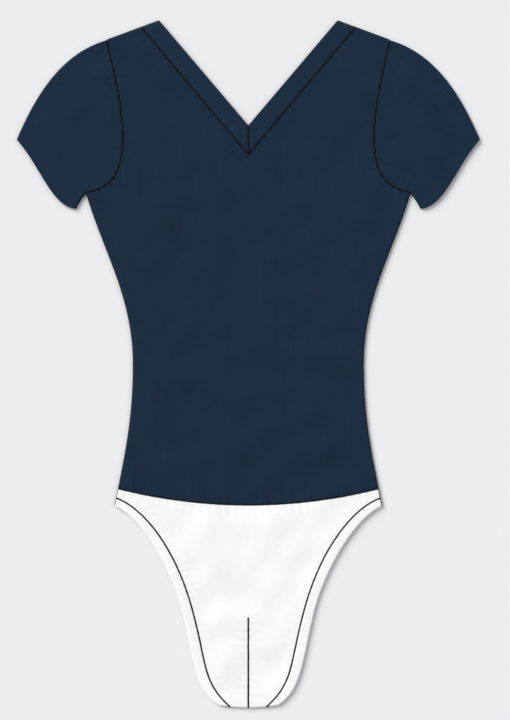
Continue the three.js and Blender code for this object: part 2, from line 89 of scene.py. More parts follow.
bpy.ops.mesh.primitive_plane_add(size=TABLE_SIZE, location=(0, 0, -TABLE_DROP))
table = bpy.context.object
table.name = "table"
table_paint = bpy.data.materials.new("table_paint")
table_paint.use_nodes = True
table_shader = table_paint.node_tree.nodes["Principled BSDF"]
table_shader.inputs["Base Color"].default_value = TABLE_COLOUR
table_shader.inputs["Roughness"].default_value = 0.85
table.data.materials.append(table_paint)
print("table:", TABLE_SIZE, "m square")

# %% Lamps and room
LAMP_DISTANCE = 3  # metres. A sun lights alike from anywhere, so this only says where its sign is drawn.
ROOM_COLOUR, ROOM_STRENGTH = (0.96, 0.98, 1, 1), 0.50


def lamp(name, turn, height, breadth, strength):
    """A soft lamp far off. Its turn from +X, its height over the table and its breadth are in degrees."""
    light = bpy.data.lights.new(name, "SUN")
    light.angle = math.radians(breadth)
    light.energy = strength
    stand = bpy.data.objects.new(name, light)
    scene.collection.objects.link(stand)
    around, up = math.radians(turn), math.radians(height)
    towards = Vector((math.cos(around) * math.cos(up), math.sin(around) * math.cos(up), math.sin(up)))
    stand.location = towards * LAMP_DISTANCE
    stand.rotation_euler = towards.to_track_quat("Z", "Y").to_euler()


lamp("main_lamp", turn=138, height=35, breadth=38, strength=3.35)
lamp("fill_lamp", turn=20, height=50, breadth=40, strength=0.4)
room = bpy.data.worlds.new("room")
room.use_nodes = True
room.node_tree.nodes["Background"].inputs["Color"].default_value = ROOM_COLOUR
room.node_tree.nodes["Background"].inputs["Strength"].default_value = ROOM_STRENGTH
scene.world = room
scene.view_settings.view_transform = "Standard"

# %% [markdown]
# ## The size chart
#
# A pattern cutter starts from a size chart. These are the sizes of the flat garment in millimetres, with
# heights counted up from the crotch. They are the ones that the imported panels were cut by, so the shells
# land exactly on them.

# %% Sizes of the flat garment
BODY_LENGTH = 780  # crotch to the neck end of the shoulder
NECK_WIDTH, NECK_DEPTH = 202, 119
BAND_WIDTH, MITRE_LENGTH = 22, 33
SHOULDER_WIDTH, SHOULDER_DROP = 321, 22
CHEST_WIDTH, UNDERARM_HEIGHT = 368, 585
ARMHOLE_WIDTH, ARMHOLE_NARROW_HEIGHT = 285.4, 647
SLEEVE_SPAN, SLEEVE_TOP_HEIGHT = 526, 645
SLEEVE_LOW_WIDTH, SLEEVE_LOW_HEIGHT = 392, 566.4
WAIST_WIDTH, WAIST_HEIGHT = 261, 390
JOIN_HEIGHT, JOIN_RISE = 230.5, 18.4  # the seam between body and brief
LEG_TOP_WIDTH, LEG_TOP_HEIGHT = 303, 229
LEG_MID_WIDTH, LEG_MID_HEIGHT = 149, 108.5
CROTCH_WIDTH, CROTCH_RISE = 65.4, 2.5
BINDING_WIDTH, BINDING_AT_SIDE, BINDING_AT_CROTCH = 11.7, 9, 12.5
CENTRE_SEAM = 103

CLOTH = 1.2  # one layer of jersey with its loft
BAND = 1.8  # a strip folded double
TURN = 1.9  # how wide a strip of cloth turns down along the outline
FRONT_LEVEL, MEETING_LEVEL = 3.4, 2.15  # heights of the front, and of where the two layers meet
FRONT_SAG, SAG_REACH = 0.7, 35  # how far the front sinks in a panel's middle, and how far in that is
MM_PER_METRE = 1000
print("chest", CHEST_WIDTH, "mm, waist", WAIST_WIDTH, "mm, length", BODY_LENGTH, "mm")

# %% [markdown]
# ## Curves of the pattern
#
# On paper, a pattern is a set of landmarks joined by smooth curves. A cubic curve with two handles draws each
# of them, as a cutter does along a curved ruler. For cutting and sewing, a curve has to be walked at an even
# pace, so it is kept as a chain of close places together with the distance walked to each of them.

# %% A curve that can be walked
CHAIN = 90  # places along each curve


class Curve:
    """A chain of close places, in millimetres."""

    def __init__(self, places):
        self.places = np.asarray(places, float)
        strides = np.hypot(*np.diff(self.places, axis=0).T)
        self.walked = np.concatenate([[0], np.cumsum(strides)])
        self.length = float(self.walked[-1])

    def after(self, walk):
        """The places that lie this many millimetres along the curve."""
        return np.stack([np.interp(walk, self.walked, axis) for axis in self.places.T], -1)

    def part(self, start, end):
        return Curve(self.after(np.linspace(start, end, CHAIN)))

    def beside(self, gap):
        """The same curve moved gap millimetres to the left of its travel."""
        along = np.gradient(self.places, axis=0)
        along /= np.hypot(*along.T)[:, None]
        return Curve(self.places + gap * np.stack([-along[:, 1], along[:, 0]], -1))

    def back(self):
        return Curve(self.places[::-1])

    def to_height(self, height):
        """How far one walks up a rising curve to this height."""
        return float(np.interp(height, self.places[:, 1], self.walked))


def bend(start, leave, arrive, end):
    """A curve between two landmarks. leave and arrive are its handles, counted from its two ends."""
    a, d = np.array(start, float), np.array(end, float)
    b, c = a + leave, d + arrive
    t = np.linspace(0, 1, CHAIN)[:, None]
    u = 1 - t
    return Curve(u**3 * a + 3 * u * u * t * b + 3 * u * t * t * c + t**3 * d)


def line(start, end):
    return Curve([start, end])


def bowl(start, end):
    """A curve that leaves its start level and rises to its end as a parabola."""
    t = np.linspace(0, 1, CHAIN)
    (x0, y0), (x1, y1) = start, end
    return Curve(np.stack([x0 + (x1 - x0) * t, y0 + (y1 - y0) * t * t], -1))


# %% Landmarks of the wearer's left half
neck_point = (NECK_WIDTH / 2, BODY_LENGTH)
neck_tip = (0, BODY_LENGTH - NECK_DEPTH)
band_tip = (0, neck_tip[1] - MITRE_LENGTH)
shoulder_point = (SHOULDER_WIDTH / 2, BODY_LENGTH - SHOULDER_DROP)
underarm = (CHEST_WIDTH / 2, UNDERARM_HEIGHT)
chest_point = (ARMHOLE_WIDTH / 2, ARMHOLE_NARROW_HEIGHT)
sleeve_top = (SLEEVE_SPAN / 2, SLEEVE_TOP_HEIGHT)
sleeve_low = (SLEEVE_LOW_WIDTH / 2, SLEEVE_LOW_HEIGHT)
waist_point = (WAIST_WIDTH / 2, WAIST_HEIGHT)
leg_top = (LEG_TOP_WIDTH / 2, LEG_TOP_HEIGHT)
leg_mid = (LEG_MID_WIDTH / 2, LEG_MID_HEIGHT)
crotch_end = (CROTCH_WIDTH / 2, CROTCH_RISE)
seam_mid = (LEG_MID_WIDTH / 2 - BINDING_WIDTH, LEG_MID_HEIGHT)
seam_low_x = CROTCH_WIDTH / 2 - BINDING_AT_CROTCH
seam_low = (seam_low_x, CROTCH_RISE * (seam_low_x / crotch_end[0]) ** 2)

# %% Outline and seams, each travelled with the cloth of the whole garment on its left
side_low = bend(leg_top, (-12.3, 60.4), (0, -61.6), waist_point)
side_high = bend(waist_point, (0, 76.4), (-20.4, -68.7), underarm)
underarm_seam = bend(underarm, (3.3, -3.7), (-3.6, 7.6), sleeve_low)
hem = bend(sleeve_low, (28, 3.3), (-28.8, -32.8), sleeve_top)
sleeve_fold = bend(sleeve_top, (-18.2, 41.6), (56.5, -16), shoulder_point)
shoulder = line(shoulder_point, neck_point)
neckline = line(neck_point, neck_tip)
crotch = bowl((0, 0), crotch_end)
leg_edge_low = bend(crotch_end, (28.2, 17.6), (-13.6, -57), leg_mid)
leg_edge_high = bend(leg_mid, (11.8, 47.8), (-29.9, -12.4), leg_top)
leg_edge = Curve([*leg_edge_low.places, *leg_edge_high.places[1:]])

armhole_low = bend(underarm, (-21.3, 4.5), (0, -50), chest_point)
armhole_high = bend(chest_point, (0, 37), (-7.5, -37), shoulder_point)
armhole = Curve([*armhole_low.places, *armhole_high.places[1:]])
join_walk = side_low.to_height(JOIN_HEIGHT + JOIN_RISE)
join = bowl((0, JOIN_HEIGHT), side_low.after(join_walk))
leg_seam_walk = side_low.to_height(LEG_TOP_HEIGHT + BINDING_AT_SIDE)
leg_seam_low = bend(seam_low, (32, 27.9), (-15.9, -58.8), seam_mid)
leg_seam_high = bend(seam_mid, (18.6, 72), (-31.2, -11.6), side_low.after(leg_seam_walk))
leg_seam = Curve([*leg_seam_low.places, *leg_seam_high.places[1:]])
band_point = shoulder.after(shoulder.length - BAND_WIDTH)
neck_seam = line(band_tip, band_point)
mitre = line(neck_tip, band_tip)
centre_seam = line((0, 0), (0, CENTRE_SEAM))
print("armhole", round(armhole.length), "mm, leg line", round(leg_edge.length), "mm")

# %% [markdown]
# ## How far is it to a seam?
#
# Almost everything that happens to cloth happens near an edge or a seam: it rolls down, turns over or
# puckers. So the one question asked of every place on the pattern is how far it is to the nearest curve,
# which way that is, and how far along the curve. Asking it for thousands of places in one go keeps it fast.

# %% Distance to a set of curves
AT_ONCE = 1500  # places worked out in one go, to spare memory
ON_CURVE = 0.3  # mm. Closer than this, the way out is the one square to the curve.
TINY = 1e-9  # mm, so that nothing is divided by zero


def near(curves, places):
    """For each place: its distance to the nearest curve, the way out of the cloth there, how far along the
    curves it is, and which of the curves it is."""
    starts = np.concatenate([c.places[:-1] for c in curves])
    along = np.concatenate([np.diff(c.places, axis=0) for c in curves])
    which = np.concatenate([np.full(len(c.places) - 1, i) for i, c in enumerate(curves)])
    offsets = np.cumsum([0, *(c.length for c in curves)])
    walked = np.concatenate([c.walked[:-1] for c in curves]) + offsets[which]
    square = (along**2).sum(1)
    side = np.stack([along[:, 1], -along[:, 0]], -1) / np.sqrt(square)[:, None]
    distance, out = np.empty(len(places)), np.empty((len(places), 2))
    run, index = np.empty(len(places)), np.empty(len(places), int)
    for first in range(0, len(places), AT_ONCE):
        chosen = slice(first, first + AT_ONCE)
        gap_x = places[chosen, 0, None] - starts[:, 0]
        gap_y = places[chosen, 1, None] - starts[:, 1]
        share = np.clip((gap_x * along[:, 0] + gap_y * along[:, 1]) / square, 0, 1)
        gap_x -= share * along[:, 0]
        gap_y -= share * along[:, 1]
        away = gap_x**2 + gap_y**2
        best = np.argmin(away, axis=1)
        row = np.arange(len(best))
        found = np.sqrt(away[row, best])
        way = np.stack([-gap_x[row, best], -gap_y[row, best]], -1) / np.maximum(found, TINY)[:, None]
        out[chosen] = np.where(found[:, None] > ON_CURVE, way, side[best])
        distance[chosen] = found
        run[chosen] = walked[best] + share[row, best] * np.sqrt(square[best])
        index[chosen] = which[best]
    return distance, out, run, index


def half(places):
    """The same places on the wearer's left half, because both halves are cut alike."""
    return np.stack([abs(places[:, 0]), places[:, 1]], -1)


OUTLINE = [crotch, side_low, side_high, underarm_seam, sleeve_fold, shoulder, leg_edge, hem, neckline]
SEAMS = [armhole, join, neck_seam, mitre, leg_seam, centre_seam]
belly = np.array([[0.0, 400.0]])
print("from the middle of the belly to the nearest edge:", round(near(OUTLINE, belly)[0][0]), "mm")

# %% [markdown]
# ## How the front lies
#
# Two layers of jersey that lie on each other keep a little air between them. The front sinks towards the
# middle of each panel, and a few soft folds are left from laying it out. A knit also never lies dead flat:
# it has long shallow waves, and beside each seam it puckers, because the thread is shorter than the cloth it
# holds. It can't sink into the back either, so it comes to rest on it, and a little higher on its bands. All
# of this is one height for each place, so neighbouring pieces always meet at the same height. A simulation
# could settle the cloth too, but what it leaves can't be steered from one seam to the next as formulas can.

# %% Soft folds of the front
FOLD_SOFTNESS = 2.0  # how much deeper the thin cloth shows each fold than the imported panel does
FOLDS = [  # middle, half length and half width in mm, turn in degrees, rise in mm
    {"x": 118, "y": 548, "length": 62, "width": 17, "angle": 132, "rise": 1.1},
    {"x": -112, "y": 540, "length": 70, "width": 18, "angle": 40, "rise": 0.9},
    {"x": -84, "y": 452, "length": 55, "width": 16, "angle": 12, "rise": 0.7},
    {"x": 78, "y": 398, "length": 60, "width": 18, "angle": -8, "rise": 0.8},
    {"x": -70, "y": 372, "length": 50, "width": 17, "angle": -14, "rise": 0.8},
    {"x": 16, "y": 500, "length": 90, "width": 26, "angle": 84, "rise": -0.4},
    {"x": 92, "y": 300, "length": 58, "width": 17, "angle": 24, "rise": 0.6},
    {"x": 196, "y": 682, "length": 52, "width": 19, "angle": 118, "rise": 1.2},
    {"x": -199, "y": 676, "length": 48, "width": 18, "angle": 60, "rise": 1.3},
    {"x": -46, "y": 168, "length": 44, "width": 16, "angle": 118, "rise": 0.6},
    {"x": 52, "y": 176, "length": 40, "width": 15, "angle": 64, "rise": 0.5},
]


def folds(x, y):
    rise = np.zeros_like(x)
    for fold in FOLDS:
        turn = math.radians(fold["angle"])
        dx, dy = x - fold["x"], y - fold["y"]
        along = (dx * math.cos(turn) + dy * math.sin(turn)) / fold["length"]
        across = (dy * math.cos(turn) - dx * math.sin(turn)) / fold["width"]
        rise += FOLD_SOFTNESS * fold["rise"] * np.exp(-(along**2) - across**2)
    return rise


# %% Waves
WAVE_COUNT = 14
WAVE_LENGTHS = (34, 110)  # mm from crest to crest
WAVE_START = 6.3  # a wave starts anywhere in this many radians, just over a whole turn
WAVE_STEEPNESS = 0.0036  # height of one wave for each millimetre of its length
rng = np.random.default_rng(7)
WAVES = [
    (rng.uniform(*WAVE_LENGTHS), rng.uniform(0, math.pi), rng.uniform(0, WAVE_START))
    for _ in range(WAVE_COUNT)
]


def waves(x, y):
    """Long shallow waves in all directions."""
    height = np.zeros_like(x)
    for length, turn, start in WAVES:
        walk = x * math.cos(turn) + y * math.sin(turn)
        height += WAVE_STEEPNESS * length * np.sin(walk * 2 * math.pi / length + start)
    return height


print("wave lengths:", sorted(round(length) for length, _, _ in WAVES), "mm")

# %% Puckers beside the seams
PUCKER, PUCKER_REACH = 0.23, 10  # height at the seam, and how far from it they die out, in mm
PUCKER_PACE = 0.74  # radians for each mm along the seam, so they come about 8.5 mm apart
DRIFT, DRIFT_LENGTH = 1.4, 17  # how far that spacing wanders, and over what length
BEATS = [(0.35, 23), (0.25, 9.7)]  # how much their height comes and goes, and over what length
SIDE_SHIFT, SEAM_SHIFT = 14, 11  # shift them, so that no two sides and no two seams pucker alike


def puckers(places):
    """Small ripples that leave each seam at right angles and die out beside it, unlike left and right."""
    height = np.zeros(len(places))
    for i, seam in enumerate(SEAMS):
        distance, _, run, _ = near([seam], half(places))
        run = run + places[:, 0] / SIDE_SHIFT + SEAM_SHIFT * i
        beat = 1
        for strength, length in BEATS:
            beat = beat + strength * np.sin(run / length)
        ripple = np.sin(run * PUCKER_PACE + DRIFT * np.sin(run / DRIFT_LENGTH))
        height += PUCKER * beat * ripple * np.exp(-distance / PUCKER_REACH)
    return height


print("puckers come", round(math.tau / PUCKER_PACE, 1), "mm apart")

# %% Height of the front
FOLD_ROOM, PUCKER_ROOM = 17.5, 6  # how far from the outline they get their full height
RESTING, RESTING_ON_BAND = 1.85, 2.75  # where the front lies right on the back, and on the back's bands
REST_SOFTNESS = 0.5  # how gently it comes to rest there
BAND_SLOPE, BINDING_SLOPE = 4, 3  # mm over which it climbs onto a band
SLOPE_START = 2  # it is half way up this many slopes before the band


def on_a_strip(edge, width, slope, places):
    """From 0 in the open to 1 on the strip of this width along an edge."""
    from_strip = near([edge], half(places))[0] - width
    return 1 / (1 + np.exp(from_strip / slope - SLOPE_START))


def resting_height(places):
    """The lowest that the front can lie over each place."""
    on_neckband = on_a_strip(neckline, BAND_WIDTH, BAND_SLOPE, places)
    on_binding = on_a_strip(leg_edge, BINDING_AT_CROTCH, BINDING_SLOPE, places)
    return RESTING + (RESTING_ON_BAND - RESTING) * np.minimum(on_neckband + on_binding, 1)


def front_height(places):
    """Middle of the front cloth over each place of the pattern."""
    x, y = places.T
    inside = near(OUTLINE, half(places))[0]
    sag = FRONT_SAG * (1 - np.exp(-inside / SAG_REACH))
    room = 1 - np.exp(-((inside / FOLD_ROOM) ** 2))
    loose = 1 - np.exp(-((inside / PUCKER_ROOM) ** 2))
    wanted = FRONT_LEVEL - sag + (folds(x, y) + waves(x, y)) * room + puckers(places) * loose
    rest = resting_height(places)
    lifted = wanted - rest
    return rest + (lifted + np.sqrt(lifted**2 + REST_SOFTNESS**2)) / 2


a_fold = np.array([[FOLDS[0]["x"], FOLDS[0]["y"]]], float)
print("height on the belly:", front_height(belly).round(2), "mm")
print("height on a fold:", front_height(a_fold).round(2), "mm")

# %% [markdown]
# ## Points on a panel
#
# A panel is the ground inside a closed outline. Its shell could be stretched between the edges as a net,
# but nets pinch at sharp corners such as the underarm. Here the points are strewn evenly instead: a few
# close rows that follow the edge, where the cloth rolls, and a honeycomb inside, which is finer beside the
# edge than in the middle. A triangulation from Blender's own library then joins them into the roundest
# triangles there are.

# %% Walk an outline
ROWS = [0.12, 0.3, 0.55, 0.85, 1.2, 1.55, TURN]  # distance of the close rows from the edge
SHARPEST = 0.5  # the most that a row is held back at a sharp corner, so that it isn't thrown far in


def ring(curves, spacing):
    """Even places along curves that follow each other, each corner kept."""
    places = []
    for curve in curves:
        count = max(1, math.ceil(curve.length / spacing))
        places.extend(curve.after(np.linspace(0, curve.length, count + 1))[:-1])
    return np.array(places)


def inset(places, distance):
    """A ring's places moved into the cloth, which lies on the left of its travel."""
    ahead = np.roll(places, -1, axis=0) - places
    ahead /= np.hypot(*ahead.T)[:, None]
    left = np.stack([-ahead[:, 1], ahead[:, 0]], -1)
    both = left + np.roll(left, 1, axis=0)
    both /= np.hypot(*both.T)[:, None]
    return places + both * distance / np.maximum(SHARPEST, (both * left).sum(1))[:, None]


def enclosed(loop, places):
    """Which places lie inside the loop: a line from them crosses it an odd number of times."""
    x0, y0 = loop.T
    x1, y1 = np.roll(loop, -1, axis=0).T
    slope = (x1 - x0) / np.where(y1 == y0, 1, y1 - y0)
    inside = np.zeros(len(places), bool)
    for first in range(0, len(places), AT_ONCE):
        x, y = places[first : first + AT_ONCE].T[..., None]
        crosses = ((y0 > y) != (y1 > y)) & (x < x0 + (y - y0) * slope)
        inside[first : first + AT_ONCE] = crosses.sum(1) % 2 == 1
    return inside


# %% Strew points over a panel
ROW_ROOM = 0.97  # a place in a row stays if it is this share of the row's distance from every edge
COMB_ROOM = 0.6  # free ground between the last row and the honeycomb, in steps of the comb
SAME_PLACE = 1e-5  # mm. Points that are closer than this are one.
ONLY_INSIDE = 1  # the triangulation's own number for keeping what lies inside the outline


def honeycomb(loop, spacing):
    low, high = loop.min(0), loop.max(0)
    rise = spacing * math.sqrt(0.75)
    columns = np.arange(math.ceil((high[0] - low[0]) / spacing) + 1)
    rows = np.arange(math.ceil((high[1] - low[1]) / rise) + 1)
    y, x = np.meshgrid(rows, columns, indexing="ij")
    return np.stack([low[0] + (x + 0.5 * (y % 2)) * spacing, low[1] + y * rise], -1).reshape(-1, 2)


def strewn(curves, fine, coarse, belt):
    """Pattern points and triangles of a panel. belt is how far from the edge the fine honeycomb reaches."""
    loop = ring(curves, fine)
    edge = [Curve([*loop, loop[0]])]
    chosen = [loop]
    for distance in ROWS:
        row = inset(loop, distance)
        chosen.append(row[(near(edge, row)[0] > ROW_ROOM * distance) & enclosed(loop, row)])
    for spacing, low, high in [(fine, ROWS[-1] + COMB_ROOM * fine, belt), (coarse, belt, math.inf)]:
        comb = honeycomb(loop, spacing)
        comb = comb[enclosed(loop, comb)]
        away = near(edge, comb)[0]
        chosen.append(comb[(away > low) & (away <= high)])
    points = [Vector(p) for p in np.concatenate(chosen)]
    joined, _, triangles, *_ = delaunay_2d_cdt(points, [], [list(range(len(loop)))], ONLY_INSIDE, SAME_PLACE)
    return np.array([tuple(p) for p in joined]), np.array(triangles)


corners = [(0, 0), (30, 0), (0, 20)]
scrap = [line(start, end) for start, end in zip(corners, corners[1:] + corners[:1])]
scrap_points, scrap_faces = strewn(scrap, fine=2, coarse=4, belt=5)
print("a small scrap of cloth has", len(scrap_points), "points and", len(scrap_faces), "faces")

# %% [markdown]
# ## From the flat pattern to lying cloth
#
# Along the sides, shoulders and underarms the front and back are sewn together, so there the cloth turns
# down through a quarter circle and meets the other layer half way. At a sewn seam the outer face rolls down
# into the seam, which gives the soft groove that one sees between two panels. A free edge, such as the
# folded edge of a band, is round. A bevel would round every edge of a panel alike, but here they differ along
# one outline. So each is a simple rule about the distance to a curve.

# %% Rules for edges
SEAM_GAP = 0.1  # between two panels that are sewn together
HALF_GAP = SEAM_GAP / 2
ROLL, ROLL_REACH = 0.45, 1.9  # how far the outer face rolls down into a seam, and from how far away
ROLL_LOST = 0.6  # share of the roll that is lost where the cloth turns down as well
CREASE, CREASE_REACH = 0.35, 1.0  # the same for the groove where the front meets the back
RIM_RADIUS = 0.6  # how far in a free edge is round, as a share of the thickness
RIM_LIMIT = 0.985  # keeps the two faces from closing to nothing at the rim
CROWN_REACH = 3  # mm over which a plump strip swells


def seam_roll(distance, out, thick):
    """How far the outer face lies lower beside a seam. A thick strip comes down to the cloth beside it."""
    roll = ROLL * (1 - ROLL_LOST * (1 - abs(out[:, 2]))) + (thick - CLOTH) / 2
    return roll * np.clip(1 - distance / ROLL_REACH, 0, 1) ** 2


def rim_share(distance, thick):
    """How thick a round free edge is, as a share of the cloth."""
    return np.sqrt(1 - np.clip(1 - distance / (thick * RIM_RADIUS), 0, RIM_LIMIT) ** 2)


print("half thickness at a free edge:", (CLOTH / 2 * rim_share(np.array([0.0]), CLOTH)).round(2), "mm")


# %% Lay a panel
def lay(places, layer, thick, closed=(), fold=(), sewn=(), free=(), crown=0):
    """Middle of the cloth over each place, the way its outer face looks, and how far its two faces lie from
    the middle. It turns down along the curves in closed and fold, rolls at those in sewn and is round at
    those in free."""
    middle = np.column_stack([places, np.full(len(places), thick / 2)])
    if layer > 0:
        middle[:, 2] = front_height(places)
    out = np.tile([0.0, 0, layer], (len(places), 1))
    outer = np.full(len(places), thick / 2)
    inner = np.full(len(places), thick / 2)
    if closed or fold:
        distance, outward, _, index = near([*closed, *fold], half(places))
        outward[:, 0] *= np.where(places[:, 0] < 0, -1, 1)
        turn = np.clip(1 - distance / TURN, 0, 1) * math.pi / 2
        gap = np.where(index < len(closed), HALF_GAP, 0)
        shift = distance - thick / 2 - (TURN - thick / 2) * (1 - np.sin(turn))
        fall = abs(middle[:, 2] - MEETING_LEVEL) - gap
        turned = turn > 0
        middle[turned, :2] += (outward * shift[:, None])[turned]
        middle[turned, 2] = (MEETING_LEVEL + layer * (gap + fall * np.cos(turn)))[turned]
        out = np.column_stack([outward * np.sin(turn)[:, None], layer * np.cos(turn)])
        outer -= np.clip(1 - distance / CREASE_REACH, 0, 1) ** 2 * np.where(gap > 0, CREASE, 0)
    if sewn:
        outer -= seam_roll(near(sewn, half(places))[0], out, thick)
    if free:
        rim = rim_share(near(free, half(places))[0], thick)
        outer *= rim
        inner *= rim
    if crown and layer > 0:
        across = near([*closed, *fold, *sewn, *free], half(places))[0]
        outer += crown * (1 - np.exp(-across / CROWN_REACH))
    return middle, out, outer, inner


# %% [markdown]
# ## The shell
#
# A layer of cloth has two faces and a rim, as a thin plate has. The outer face is the middle moved out along
# its own direction, the inner face is the same moved in, and the rim joins the two wherever the layer ends.
# A Solidify modifier would do the same at one thickness, but here the thickness changes beside the seams.
# The pattern places are kept as UVs in metres, so the knit later follows the cut of each piece.

# %% Build a shell
def shell(name, slot, laid, faces, grain):
    """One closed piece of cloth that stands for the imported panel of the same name."""
    middle, out, outer, inner = laid
    edges = np.concatenate([faces[:, [0, 1]], faces[:, [1, 2]], faces[:, [2, 0]]])
    count = len(middle)
    alone = ~np.isin(edges[:, 0] * count + edges[:, 1], edges[:, 1] * count + edges[:, 0])
    start, end = edges[alone].T
    rim = np.stack([end, start, start + count, end + count], -1)
    points = np.concatenate([middle + out * outer[:, None], middle - out * inner[:, None]])
    points[:, 1] -= BODY_LENGTH / 2
    mesh = bpy.data.meshes.new(name)
    all_faces = [*faces.tolist(), *(faces[:, ::-1] + count).tolist(), *rim.tolist()]
    mesh.from_pydata((points / MM_PER_METRE).tolist(), [], all_faces)
    mesh.shade_smooth()
    corner = np.empty(len(mesh.loops), int)
    mesh.loops.foreach_get("vertex_index", corner)
    uv = np.tile(grain / MM_PER_METRE, (2, 1))[corner]
    mesh.uv_layers.new(name="cloth").data.foreach_set("uv", uv.ravel())
    piece = bpy.data.objects.new(f"{name}_cloth", mesh)
    scene.collection.objects.link(piece)
    mesh.materials.append(finish[slot])
    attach(piece, "root")
    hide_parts(name)
    print(f"{name}: {len(points)} points, {len(mesh.polygons)} faces")
    return piece


# %% One layer, or both round a fold
ON_FOLD = 0.01  # mm


def one_layer(points, faces, layer, **edges):
    return lay(points, layer, **edges), faces[:, ::layer]


def round_a_fold(points, faces, fold, **edges):
    """The same ground in the front and in the back layer, as one piece that is folded at a curve."""
    both = zip(lay(points, 1, fold=fold, **edges), lay(points, -1, fold=fold, **edges))
    count = len(points)
    below = np.arange(count) + count
    on_fold = near(fold, half(points))[0] < ON_FOLD
    below[on_fold] = np.arange(count)[on_fold]
    faces = np.concatenate([faces, below[faces][:, ::-1]])
    used, faces = np.unique(faces, return_inverse=True)
    return [np.concatenate(parts)[used] for parts in both], faces.reshape(-1, 3), used % count


def mirrored(points, faces):
    return points * (-1, 1), faces[:, ::-1]


scrap_laid, _ = one_layer(*mirrored(scrap_points, scrap_faces), -1, thick=CLOTH)
print("the scrap, laid under, has its middle at", scrap_laid[0][:, 2].max(), "mm")

# %% [markdown]
# ## Jersey
#
# Jersey is a sheet of loops. On its face each column of loops, or wale, looks like a plait of small Vs.
# The whole garment holds some millions of them, far too many to model, so a pattern of sines draws them
# into the surface: one sine across each wale gives its two legs, and one along it, bent into a V, gives the
# loops. Loops are never quite even, so the wales wander a little, fine fibres and broad lumps roughen them,
# and noise shifts the colour in long streaks and soft clouds. The even amounts, such as the sheen of the
# fibres, are set straight on the shader.
# The loops also paint shade into the colour: it is darker in the gaps between them and lighter on their tops.

# %% Sums on a material's own values
def sum_node(tree, operation, *values):
    """A maths node whose inputs are numbers or other nodes' outputs."""
    node = tree.nodes.new("ShaderNodeMath")
    node.operation = operation
    for socket, value in zip(node.inputs, values):
        if isinstance(value, (int, float)):
            socket.default_value = value
        else:
            tree.links.new(value, socket)
    return node.outputs[0]


# %% Noise that follows the cloth
UNEVENNESS = {  # spots in a metre, how far they are stretched along the wales, and how finely they are drawn
    "wander": {"spots": 260, "stretch": 1, "detail": 2},
    "fibres": {"spots": 5200, "stretch": 1.6, "detail": 3},
    "lumps": {"spots": 170, "stretch": 1.3, "detail": 4},
    "clouds": {"spots": 45, "stretch": 1.5, "detail": 4},
    "streaks": {"spots": 420, "stretch": 40, "detail": 2},
}


def uneven(tree, along, across, kind):
    """Noise from 0 to 1 of one of the kinds above."""
    place = tree.nodes.new("ShaderNodeCombineXYZ")
    tree.links.new(across, place.inputs[0])
    tree.links.new(sum_node(tree, "MULTIPLY", along, 1 / UNEVENNESS[kind]["stretch"]), place.inputs[1])
    noise = tree.nodes.new("ShaderNodeTexNoise")
    noise.inputs["Scale"].default_value = UNEVENNESS[kind]["spots"]
    noise.inputs["Detail"].default_value = UNEVENNESS[kind]["detail"]
    tree.links.new(place.outputs[0], noise.inputs["Vector"])
    return noise.outputs["Fac"]


print("kinds of unevenness:", sorted(UNEVENNESS))

# %% Loops of the knit
WALE, COURSE = 0.00095, 0.00075  # metres from column to column and from loop to loop
WANDER = 0.5  # wales
V_SLANT = 1.1  # how far the legs of the V rise from the middle of a wale to its side, in loops
LOOP_SWELL = 0.22  # how much a leg swells and narrows along each loop
FIBRE_HEIGHT, LUMP_HEIGHT = 0.5, 1.6  # as shares of a loop's height


def knit_loops(tree, along, across):
    """Height of the loops: 0 between the legs of the Vs and 1 on top of them."""
    wander = sum_node(tree, "MULTIPLY", uneven(tree, along, across, "wander"), WANDER)
    wale = sum_node(tree, "ADD", sum_node(tree, "DIVIDE", across, WALE), wander)
    side = sum_node(tree, "ABSOLUTE", sum_node(tree, "SUBTRACT", sum_node(tree, "FRACT", wale), 0.5))
    legs = sum_node(tree, "SINE", sum_node(tree, "MULTIPLY", side, math.tau))
    slant = sum_node(tree, "MULTIPLY", side, V_SLANT)
    row = sum_node(tree, "ADD", sum_node(tree, "DIVIDE", along, COURSE), slant)
    loop = sum_node(tree, "COSINE", sum_node(tree, "MULTIPLY", row, math.tau))
    return sum_node(tree, "MULTIPLY", legs, sum_node(tree, "MULTIPLY_ADD", loop, LOOP_SWELL, 1 - LOOP_SWELL))


def knit_height(tree, along, across, loops):
    fibres = sum_node(tree, "MULTIPLY", uneven(tree, along, across, "fibres"), FIBRE_HEIGHT)
    lumps = sum_node(tree, "MULTIPLY", uneven(tree, along, across, "lumps"), LUMP_HEIGHT)
    return sum_node(tree, "ADD", sum_node(tree, "ADD", loops, fibres), lumps)


print("stitches of the knit:", round(1 / WALE / 10), "wales and", round(1 / COURSE / 10), "courses in 10 cm")

# %% Knit a material
LOOP_DEPTH = 0.00016  # metres
UNSHADED_LOOP_HEIGHT = 0.55  # the height on a loop that the painted shade leaves in just the cloth's colour. Higher is painted lighter, lower painted darker.
SHEEN_ROUGHNESS, SHINE = 0.45, 0.12


